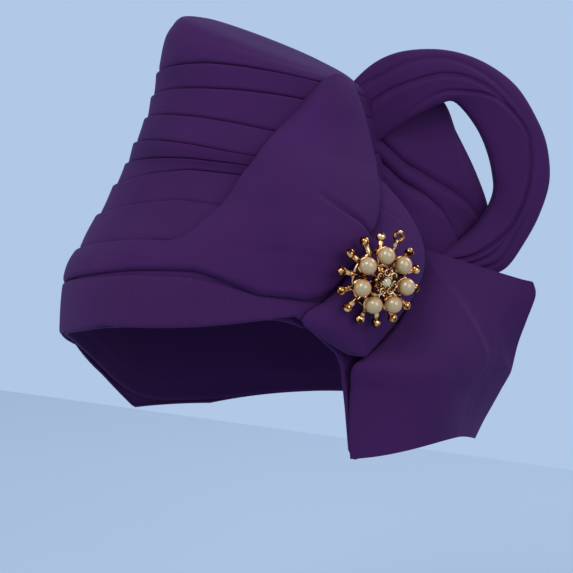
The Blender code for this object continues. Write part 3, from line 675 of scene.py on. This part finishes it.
# Each fold is a path whose columns are along, up and height.
LEAF_FOLDS = (
    ((-14.0, 62.0, 4.6), (-0.3, 52.1, 4.6), (10.3, 41.9, 4.4), (21.4, 35.5, 3.4), (32.4, 29.0, 2.4),
     (39.8, 23.5, 1.8), (47.2, 15.2, 0.8)),
    ((-14.0, 52.0, 5.4), (0.1, 41.9, 5.4), (7.5, 34.6, 5.2), (18.6, 28.1, 3.8), (26.9, 20.7, 2.8),
     (32.4, 11.5, 2.2), (35.2, 5.0, 1.6)),
)
LEAF_FOLD_ROUNDING = 1.9
LEAF_FOLD_SLOPE = 0.78


def leaf_folds(along, up):
    """The height of the leaf's folds at a place in the bow's plane."""
    height = 0.0
    for path in LEAF_FOLDS:
        alongs, ups, heights = zip(*path)
        below = (float(np.interp(along, alongs, ups)) - up) * LEAF_FOLD_SLOPE
        height += float(np.interp(along, alongs, heights)) * fold_lip(below, LEAF_FOLD_ROUNDING)
    return height


def place_leaf(u, v):
    *ends, bow_out = smooth(LEAF, u * (len(LEAF) - 1))
    top, low = ends[:3], ends[3:]
    folds = leaf_folds(blend(top[0], low[0], v), blend(top[1], low[1], v))
    height = bow_out * sin(pi * v) + folds * min((1 - u) * 8.0, 1.0)
    return blend(bow_point(*top), bow_point(*low), v) + BOW_FACING * height


bow_leaf = lay_cloth("fanned_leaf", 120, 150, place_leaf, (60.0, 75.0))
thicken(bow_leaf, LEAF_CLOTH)

# %% [markdown]
# The tail is cut wide and left to hang: it leaves the knot, lies on the side of the cap and flares
# out behind the ear to a free edge. A soft fold runs down from below the brooch, as the cloth is
# pulled together there, and a shallow one ends at the free edge.

# %% Tail
# Columns: angle, level, lift, edge_along, edge_up, edge_depth, belly.
TAIL = (
    (115.6, 3.7, 4.0, 69.0, -13.0, 10.0, 2.0),
    (113.3, 3.2, 4.0, 70.0, -19.0, 9.0, 3.0),
    (109.3, 2.65, 4.0, 66.0, -30.0, 8.0, 5.0),
    (104.6, 2.15, 4.0, 62.0, -41.0, 7.0, 8.0),
    (98.4, 1.78, 4.0, 59.0, -53.0, 6.0, 11.0),
    (87.5, 1.4, 3.0, 54.0, -62.0, 6.0, 13.0),
    (80.5, 1.2, 0.5, 50.0, -69.0, 6.0, 15.0),
    (80.5, 0.75, -2.9, 46.0, -76.0, 6.0, 17.0),
    (81.5, 0.22, -2.9, 42.0, -84.0, 6.0, 17.0),
)
TAIL_CLOTH = 3.0
EDGE_TRIM = 1.6
EDGE_RISE = 1.6
TUCK = 0.08
HEM_LIFT = 7.0
# Columns: from_u, from_v, to_u, to_v, depth.
TAIL_FOLDS = ((0.12, 0.10, 0.47, 0.62, 2.2), (0.44, 0.80, 0.50, 1.0, 0.8))
TAIL_FOLD_WIDTH = 0.035


def place_tail(u, v):
    angle, level, lift, edge_along, edge_up, edge_depth, belly = smooth(TAIL, u * (len(TAIL) - 1))
    end = bow_point(edge_along - EDGE_TRIM, edge_up + EDGE_RISE * (1 - u), edge_depth)
    start = hat_point(angle, level, lift)
    chord = end - start
    start -= chord * TUCK * min(max((0.8 - u) / 0.15, 0.0), 1.0)
    chord = end - start
    outward = np.cross((0.0, 0.0, -1.0), chord)
    outward /= np.linalg.norm(outward)
    out = belly * sin(pi * v**0.8)
    fold = 0.0
    for from_u, from_v, to_u, to_v, depth in TAIL_FOLDS:
        share = (v - from_v) / (to_v - from_v)
        if -0.1 < share < 1.1:
            away = (u - blend(from_u, to_u, share)) / TAIL_FOLD_WIDTH
            ends = sin(pi * min(max((share + 0.1) / 1.2, 0.0), 1.0)) ** 0.6
            fold += depth * ends * (0.5 * tanh(away) + 0.5 * exp(-(away - 0.5) ** 2))
    hem = np.array((0.0, 0.0, HEM_LIFT * u**6 * sin(pi * v)))
    return start + chord * v + outward * (out + fold + TAIL_CLOTH - 3.0 * (1 - v) ** 12) + hem


bow_tail = lay_cloth("flared_tail", 150, 120, place_tail, (105.0, 75.0), (40.0, 10.0, -80.0))
thicken(bow_tail, TAIL_CLOTH * 0.6)

# %% [markdown]
# The brooch is cast and soldered gilt metal. Two rings carry fourteen spokes; thirteen end in a ball
# and one in the open eye of a bail. It is built again from round rods, balls and hoops with enough
# facets to shine, and each pearl sits in a shallow cup. A hoop is a small circle spun once round.

# %% Brooch's own frame
BROOCH_CENTRE = (88.891, -31.701, -47.692)
BROOCH_TURN = 68.0
SPOKES = 14
SPOKE_START = 3.4
PEARLS = 7
PEARL_DIAMETER = 7.6
PEARL_RADIUS = 11.1
PEARL_RISE = 5.6


def brooch_matrix():
    """The brooch's own frame: +Z out of its face and +Y up."""
    turn = radians(BROOCH_TURN)
    right = Vector((cos(turn), sin(turn), 0.0))
    facing = Vector((sin(turn), -cos(turn), 0.0))
    placed = Matrix((right, Vector((0.0, 0.0, 1.0)), facing)).transposed().to_4x4()
    placed.translation = Vector(BROOCH_CENTRE) * MM
    return placed


def on_dial(angle, radius, height=0.0):
    """A point on the brooch, its angle clockwise from the top, in metres."""
    turn = radians(angle)
    return Vector((radius * sin(turn), radius * cos(turn), height)) * MM


def brooch_piece(name, work):
    """What was modelled flat, set on the hat with its place in its mesh."""
    bmesh.ops.transform(work, matrix=brooch_matrix(), verts=work.verts)
    return as_piece(name, work)


def add_ball(work, centre, diameter, around=24, rows=16):
    """A round ball."""
    bmesh.ops.create_uvsphere(work, u_segments=around, v_segments=rows, radius=diameter * MM / 2,
                              matrix=Matrix.Translation(centre))


def add_rod(work, start, end, foot, head, sides=18):
    """A round rod between two points, with a diameter at each end."""
    run = end - start
    place = Matrix.Translation((start + end) / 2) @ run.to_track_quat("Z", "Y").to_matrix().to_4x4()
    bmesh.ops.create_cone(work, cap_ends=True, segments=sides, radius1=foot * MM / 2,
                          radius2=head * MM / 2, depth=run.length, matrix=place)


def add_hoop(work, centre, radius, wire, steps=48):
    """A hoop of round wire that lies level with the brooch's face."""
    reach = centre + Vector((radius * MM, 0.0, 0.0))
    place = Matrix.Translation(reach) @ Matrix.Rotation(radians(90.0), 4, "X")
    made = bmesh.ops.create_circle(work, segments=12, radius=wire / 2 * MM, matrix=place)
    rims = {edge for point in made["verts"] for edge in point.link_edges}
    bmesh.ops.spin(work, geom=[*made["verts"], *rims], cent=centre, axis=(0.0, 0.0, 1.0),
                   angle=2 * pi, steps=steps, use_merge=True)


print("the pearls are", PEARL_DIAMETER, "mm across, their middles", PEARL_RISE, "mm above the rings")

# %% [markdown]
# On the real brooch the rings, spokes and balls are cast in one and the cups are soldered on. Here
# they are rods, balls and hoops that run into each other in one mesh: under a gilt finish that looks
# the same, and no seam has to be cut.

# %% Spokes, rings and cups
SPOKE_RADIUS = 18.6
SPOKE_WIRE = 2.1
SPOKE_TIP = 2.6
BALL_DIAMETER = 4.3
BAIL_SPOKE = 1
BAIL_TIP = 1.9
BAIL_RADIUS = 2.0
BAIL_WIRE = 1.6
CUP_BELOW = 0.6
CUP_FOOT = 4.0
CUP_HEAD = 5.0
CUP_RIM_RADIUS = 3.3
CUP_RIM_WIRE = 1.0
CUP_RIM_DROP = 2.4
HUB_WIRE = 1.6
# Columns: radius, wire.
RINGS = ((6.6, 1.8), (12.6, 1.5))
work = bmesh.new()
for radius, wire in RINGS:
    add_hoop(work, Vector(), radius, wire, 84)
for spoke in range(SPOKES):
    angle = SPOKE_START + 360.0 / SPOKES * spoke
    bail = spoke == BAIL_SPOKE
    tip = on_dial(angle, SPOKE_RADIUS)
    add_rod(work, on_dial(angle, RINGS[0][0]), tip, SPOKE_WIRE, BAIL_TIP if bail else SPOKE_TIP)
    if bail:
        add_hoop(work, on_dial(angle, SPOKE_RADIUS + BAIL_RADIUS), BAIL_RADIUS, BAIL_WIRE)
    else:
        add_ball(work, tip, BALL_DIAMETER)
for number in range(PEARLS):
    angle = SPOKE_START + 360.0 / PEARLS * number
    seat = on_dial(angle, PEARL_RADIUS, PEARL_RISE - PEARL_DIAMETER / 2)
    add_rod(work, on_dial(angle, PEARL_RADIUS, -CUP_BELOW), seat, CUP_FOOT, CUP_HEAD)
    rim = on_dial(angle, PEARL_RADIUS, PEARL_RISE - CUP_RIM_DROP)
    add_hoop(work, rim, CUP_RIM_RADIUS, CUP_RIM_WIRE)
    add_rod(work, Vector(), on_dial(angle, RINGS[0][0]), HUB_WIRE, HUB_WIRE)
bmesh.ops.recalc_face_normals(work, faces=work.faces)
gilt_frame = brooch_piece("gilt_frame", work)

# %% [markdown]
# The pearls are round glass beads glued into the cups. Blender's sphere is all that a bead needs, and
# each is a piece of its own, since each stands for a solid of its own.

# %% Pearls
pearls = []
for number in range(PEARLS):
    angle = SPOKE_START + 360.0 / PEARLS * number
    work = bmesh.new()
    bmesh.ops.create_uvsphere(work, u_segments=40, v_segments=24, radius=PEARL_DIAMETER * MM / 2,
                              matrix=Matrix.Translation(on_dial(angle, PEARL_RADIUS, PEARL_RISE)))
    pearls.append(brooch_piece(f"round_pearl_{number + 1}", work))

# %% [markdown]
# The flower round the stone is seven open petals, each a small gold hoop with a dark disc of painted
# shade sunk in it, and a beaded collar under the stone. The painted shade in the petals gives the centre
# its sparkle.

# %% Flower
PETAL_RADIUS = 4.15
PETAL_RISE = 7.3
PETAL_HOOP = 1.3
PETAL_WIRE = 0.75
COLLAR_RADIUS = 2.35
COLLAR_BEADS = 14
work = bmesh.new()
hollows = bmesh.new()
add_rod(work, on_dial(0.0, 0.0, -0.8), on_dial(0.0, 0.0, 6.6), 5.0, 5.0, 28)
add_rod(work, on_dial(0.0, 0.0, 5.9), on_dial(0.0, 0.0, 6.7), 8.6, 10.4, 42)
for number in range(PEARLS):
    angle = SPOKE_START + 360.0 / PEARLS * number
    middle = on_dial(angle, PETAL_RADIUS, PETAL_RISE)
    add_hoop(work, middle, PETAL_HOOP, PETAL_WIRE, 24)
    # Painted shade: a dark disc sunk in each petal hoop.
    add_rod(hollows, middle - Vector((0.0, 0.0, 0.7 * MM)), middle, 2.0, 2.0, 16)
    add_ball(work, on_dial(angle, PETAL_RADIUS + 0.2, PETAL_RISE + 0.1), 0.8, 12, 8)
    add_ball(work, on_dial(angle + 25.7, 5.2, 6.9), 1.3, 14, 9)
for number in range(COLLAR_BEADS):
    add_ball(work, on_dial(360.0 / COLLAR_BEADS * number, COLLAR_RADIUS, 8.0), 0.85, 12, 8)
bmesh.ops.recalc_face_normals(work, faces=work.faces)
flower = brooch_piece("flower_setting", work)
painted_petal_shade = brooch_piece("painted_petal_shade", hollows)

# %% [markdown]
# Materials start from what each thing is. Colours are written as sRGB hex, as a colour picker gives
# them, and one function turns them linear. One small function adds a node with settings and links.

# %% Material helpers
def colour(text):
    """An sRGB hex colour as linear red, green, blue and alpha."""
    parts = [int(text[start:start + 2], 16) / 255.0 for start in (0, 2, 4)]
    return (*[part / 12.92 if part <= 0.04045 else ((part + 0.055) / 1.055) ** 2.4 for part in parts], 1.0)


def node(tree, kind, settings=None, links=None):
    """A node with its settings, which are attributes or input values, and its links."""
    made = tree.nodes.new(kind)
    for name, value in (settings or {}).items():
        if isinstance(name, str) and hasattr(made, name):
            setattr(made, name, value)
        else:
            made.inputs[name].default_value = value
    for name, source in (links or {}).items():
        tree.links.new(source, made.inputs[name])
    return made


def new_material(name):
    """An empty node material with its output."""
    made = bpy.data.materials.new(name)
    made.use_nodes = True
    made.node_tree.nodes.clear()
    return made, made.node_tree, node(made.node_tree, "ShaderNodeOutputMaterial")


print("a mid aubergine is", [round(value, 3) for value in colour("3c2051")])

# %% [markdown]
# The cloth is a thick, smooth polyester knit, the kind sold as scuba or crepe jersey: matt, deep in
# colour, with a faint bloom of sheen at grazing angles. Its wales, the upright columns of stitches,
# are 1.35 mm apart on the band. Elsewhere they are finer and almost flat, so a soft mottle is what
# shows. A noise scale counts features in a metre: 28 makes patches of about 36 mm, and 900 a grain of
# about 1 mm, which is the size of a stitch.

# %% Knitted cloth
# A wave texture repeats after 2 pi / 20 of its scaled input.
WAVE_LENGTH = 2 * pi / 20.0
SMOOTH_PITCH = 0.9
RIB_PITCH = 1.35


def knitted_cloth(name, rib_pitch, rib_height, deep, middle, painted_rib_highlight):
    """Cloth whose ribs run along the cut's second direction, rib_pitch mm apart, with a painted highlight
    on each rib's crest.
    """
    made, tree, output = new_material(name)
    cut = node(tree, "ShaderNodeUVMap", {"uv_map": "cut"})
    place = node(tree, "ShaderNodeTexCoord")
    patches = node(tree, "ShaderNodeTexNoise", {"Scale": 28.0, "Detail": 3.0},
                   {"Vector": place.outputs["Object"]})
    grain = node(tree, "ShaderNodeTexNoise", {"Scale": 900.0, "Detail": 2.0},
                 {"Vector": place.outputs["Object"]})
    ramp = node(tree, "ShaderNodeValToRGB", {}, {"Fac": patches.outputs["Fac"]})
    ramp.color_ramp.elements[0].position = 0.3
    ramp.color_ramp.elements[0].color = colour(deep)
    ramp.color_ramp.elements[1].position = 0.7
    ramp.color_ramp.elements[1].color = colour(middle)
    ribs = node(tree, "ShaderNodeTexWave", {"bands_direction": "X", "Scale": WAVE_LENGTH / rib_pitch,
                                            "Distortion": 0.6, "Detail": 1.0, "Detail Scale": 0.4},
                {"Vector": cut.outputs["UV"]})
    # Painted highlight: each rib's crest is mixed towards a lighter colour, where light would catch the
    # rib.
    rib_highlight_mix = node(tree, "ShaderNodeMix", {"data_type": "RGBA", 7: colour(painted_rib_highlight)},
                   {6: ramp.outputs["Color"]})
    share = node(tree, "ShaderNodeMath", {"operation": "MULTIPLY", 1: 0.35}, {0: ribs.outputs["Fac"]})
    tree.links.new(share.outputs[0], rib_highlight_mix.inputs[0])
    height = node(tree, "ShaderNodeMath", {"operation": "MULTIPLY_ADD", 1: rib_height},
                  {0: ribs.outputs["Fac"], 2: grain.outputs["Fac"]})
    bump = node(tree, "ShaderNodeBump", {"Strength": 0.35, "Distance": 0.0002},
                {"Height": height.outputs[0]})
    shader = node(tree, "ShaderNodeBsdfPrincipled",
                  {"Roughness": 0.85, "Sheen Weight": 0.12, "Sheen Roughness": 0.4,
                   "Sheen Tint": colour("7a4fa0"), "Specular IOR Level": 0.15},
                  {"Base Color": rib_highlight_mix.outputs[2], "Normal": bump.outputs["Normal"]})
    tree.links.new(shader.outputs["BSDF"], output.inputs["Surface"])
    return made


smooth_knit = knitted_cloth("aubergine crepe knit", SMOOTH_PITCH, 0.15, "300f3c", "361343", "38154a")
ribbed_knit = knitted_cloth("aubergine ribbed knit", RIB_PITCH, 3.0, "300f3c", "361343", "43204f")
print("the band's ribs are", RIB_PITCH, "mm apart")

# %% [markdown]
# The metal is gilded brass, polished after casting. Its colour runs at random, in patches of about
# 2.4 mm, from near-black brown to bright cream: painted reflection, the dark and bright reflections of
# a studio painted into the metal. The pearls are glass beads with a pearl coat under a clear lacquer:
# cream, with a painted peach reflection of the gold round their rims. The stone is cut glass on pale
# foil, so it is drawn only partly see-through.

# %% Brooch materials
gilt, tree, output = new_material("polished gilt brass")
place = node(tree, "ShaderNodeTexCoord")
painted_reflection_noise = node(tree, "ShaderNodeTexNoise", {"Scale": 420.0, "Detail": 1.5},
               {"Vector": place.outputs["Object"]})
# Painted reflection: the metal's colour swings at random from near-black brown to bright cream, standing in
# for dark and bright reflections.
ramp = node(tree, "ShaderNodeValToRGB", {}, {"Fac": painted_reflection_noise.outputs["Fac"]})
ramp.color_ramp.elements[0].position = 0.40
ramp.color_ramp.elements[0].color = colour("3a1a0c")
ramp.color_ramp.elements[1].position = 0.60
ramp.color_ramp.elements[1].color = colour("ecc08a")
ramp.color_ramp.elements.new(0.47).color = colour("b0713a")
dents = node(tree, "ShaderNodeBump", {"Strength": 0.15, "Distance": 0.0002},
             {"Height": painted_reflection_noise.outputs["Fac"]})
shader = node(tree, "ShaderNodeBsdfPrincipled", {"Metallic": 1.0, "Roughness": 0.16},
              {"Base Color": ramp.outputs["Color"], "Normal": dents.outputs["Normal"]})
tree.links.new(shader.outputs["BSDF"], output.inputs["Surface"])

pearl_coat, tree, output = new_material("cream pearl-coated glass")
# Painted reflection: the pearls' rims are mixed towards peach, the reflection of the gold cups; their
# middles are cream.
reflection_rim_mask = node(tree, "ShaderNodeLayerWeight", {"Blend": 0.5})
painted_gold_reflection = node(tree, "ShaderNodeMix", {"data_type": "RGBA", 6: colour("a08c60"), 7: colour("bf7a42")},
             {0: reflection_rim_mask.outputs["Facing"]})
shader = node(tree, "ShaderNodeBsdfPrincipled",
              {"Roughness": 0.3, "Coat Weight": 1.0, "Coat Roughness": 0.1, "Subsurface Weight": 0.15,
               "Subsurface Radius": (0.002, 0.0015, 0.001)},
              {"Base Color": painted_gold_reflection.outputs[2]})
tree.links.new(shader.outputs["BSDF"], output.inputs["Surface"])

cut_glass, tree, output = new_material("clear cut glass")
shader = node(tree, "ShaderNodeBsdfPrincipled",
              {"Base Color": colour("d2c8a4"), "Roughness": 0.03, "IOR": 1.6, "Transmission Weight": 0.4,
               "Coat Weight": 0.5})
tree.links.new(shader.outputs["BSDF"], output.inputs["Surface"])

# Painted shade in the petal hollows: near-black brown metal, flecked at random.
painted_shade_metal, tree, output = new_material("painted shade in the petal hollows")
place = node(tree, "ShaderNodeTexCoord")
painted_shade_noise = node(tree, "ShaderNodeTexNoise", {"Scale": 900.0}, {"Vector": place.outputs["Object"]})
tone = node(tree, "ShaderNodeMix", {"data_type": "RGBA", 6: colour("120c08"), 7: colour("4a3820")},
            {0: painted_shade_noise.outputs["Fac"]})
shader = node(tree, "ShaderNodeBsdfPrincipled", {"Metallic": 0.6, "Roughness": 0.4},
              {"Base Color": tone.outputs[2]})
tree.links.new(shader.outputs["BSDF"], output.inputs["Surface"])
print("on the brooch:", ", ".join(made.name for made in (gilt, pearl_coat, cut_glass, painted_shade_metal)))

# %% [markdown]
# Each piece now gets its finish and rides on the hat's one body, the CAD solid that it stands for is
# hidden, and its area of cloth is printed.

CLOTH_PIECES = (
    (base_cap, "base_cap", smooth_knit),
    (front_band, "front_band", ribbed_knit),
    (crown, "crown", smooth_knit),
    (wrap_panel, "wrap_panel", smooth_knit),
    (knot, "knot", smooth_knit),
    (bow_loop, "bow_loop", smooth_knit),
    (bow_leaf, "bow_leaf", smooth_knit),
    (bow_tail, "bow_tail", smooth_knit),
)
for piece, solid, finish in CLOTH_PIECES:
    piece.data.materials.append(finish)
    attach(piece, "root")
    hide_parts(solid)
    area = sum(face.area for face in piece.data.polygons)
    print(piece.name, "is", round(area * 10000), "square cm of cloth")

# %% [markdown]
# The pearls and the gilt frame take the places of their solids. The flower and the painted shade in its
# hollows are added to them. The pin and the stone are plain enough to keep the CAD's own solids, and
# only get a finish.

# %% Dress the brooch
for number, pearl in enumerate(pearls):
    pearl.data.materials.append(pearl_coat)
    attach(pearl, "root")
    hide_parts(f"pearl_{number + 1}")
for piece, finish in ((gilt_frame, gilt), (flower, gilt), (painted_petal_shade, painted_shade_metal)):
    piece.data.materials.append(finish)
    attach(piece, "root")
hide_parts("brooch_frame")
for name, finish in (("brooch_pin", gilt), ("centre_stone", cut_glass)):
    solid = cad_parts[name]
    solid.data.materials.clear()
    solid.data.materials.append(finish)
print("the brooch has", len(pearls), "pearls and", SPOKES, "spokes")

# %% [markdown]
# The picture was lit as a catalogue cut-out: big soft lamps, almost no shadow, a pale blue wall and a
# slightly darker ledge. The floor is a plain pale board whose far edge runs behind the hat.

# %% Floor and light
FLOOR_HEIGHT = -0.30
FLOOR_SIZE = 2.0
PICTURE_SIDE = 573.0
FLOOR_EDGE = ((0.0, 390.0), (PICTURE_SIDE, 470.0))
LOOK = (CAMERA_AIM - CAMERA_PLACE).normalized()
LOOK_RIGHT = LOOK.cross(Vector((0.0, 0.0, 1.0))).normalized()
LOOK_UP = LOOK_RIGHT.cross(LOOK)
PIXEL_FOCUS = camera_data.lens / camera_data.sensor_width * PICTURE_SIDE


def on_floor(pixel):
    """The point of the floor that shows at a pixel."""
    ray = (LOOK * PIXEL_FOCUS + LOOK_RIGHT * (pixel[0] - PICTURE_SIDE / 2)
           + LOOK_UP * (PICTURE_SIDE / 2 - pixel[1]))
    return CAMERA_PLACE + ray * ((FLOOR_HEIGHT - CAMERA_PLACE.z) / ray.z)


far_left, far_right = (on_floor(pixel) for pixel in FLOOR_EDGE)
edge = (far_right - far_left).normalized()
towards = Vector((0.0, 0.0, 1.0)).cross(edge)
towards *= -1.0 if towards.dot(LOOK) > 0 else 1.0
work = bmesh.new()
bmesh.ops.create_grid(work, x_segments=2, y_segments=2, size=FLOOR_SIZE)
turned = Matrix((edge, towards, Vector((0.0, 0.0, 1.0)))).transposed().to_4x4()
turned.translation = (far_left + far_right) / 2 + towards * FLOOR_SIZE
bmesh.ops.transform(work, matrix=turned, verts=work.verts)
floor = as_piece("pale_floor", work)
painted, tree, output = new_material("pale blue painted board")
place = node(tree, "ShaderNodeTexCoord")
fleck = node(tree, "ShaderNodeTexNoise", {"Scale": 3.0}, {"Vector": place.outputs["Object"]})
paint = node(tree, "ShaderNodeMix", {"data_type": "RGBA", 6: colour("a9b5c2"), 7: colour("adbac7")},
             {0: fleck.outputs["Fac"]})
shader = node(tree, "ShaderNodeBsdfPrincipled", {"Roughness": 0.9, "Specular IOR Level": 0.1},
              {"Base Color": paint.outputs[2]})
tree.links.new(shader.outputs["BSDF"], output.inputs["Surface"])
floor.data.materials.append(painted)

world = bpy.data.worlds.new("pale wall")
bpy.context.scene.world = world
world.use_nodes = True
wall = world.node_tree.nodes["Background"]
wall.inputs["Color"].default_value = colour("b1c8e7")
wall.inputs["Strength"].default_value = 1.0

# Columns: name, place in metres, width in metres, power in watts.
LAMPS = (
    ("key_lamp", (0.35, -1.45, 1.5), 1.2, 21.0),
    ("left_fill_lamp", (-1.2, -1.2, 0.5), 1.4, 8.0),
    ("right_fill_lamp", (1.7, -0.3, 0.7), 1.4, 15.0),
    ("back_lamp", (0.4, 1.4, 1.2), 1.0, 10.0),
)
for name, place, size, power in LAMPS:
    lamp_data = bpy.data.lights.new(name, "AREA")
    lamp_data.shape = "DISK"
    lamp_data.size = size
    lamp_data.energy = power
    lamp = bpy.data.objects.new(name, lamp_data)
    bpy.context.scene.collection.objects.link(lamp)
    lamp.location = place
    lamp.rotation_euler = (Vector((0.0, 0.0, -0.05)) - Vector(place)).to_track_quat("-Z", "Y").to_euler()
print("the floor's far edge is", round((far_right - far_left).length, 2), "m across the picture")
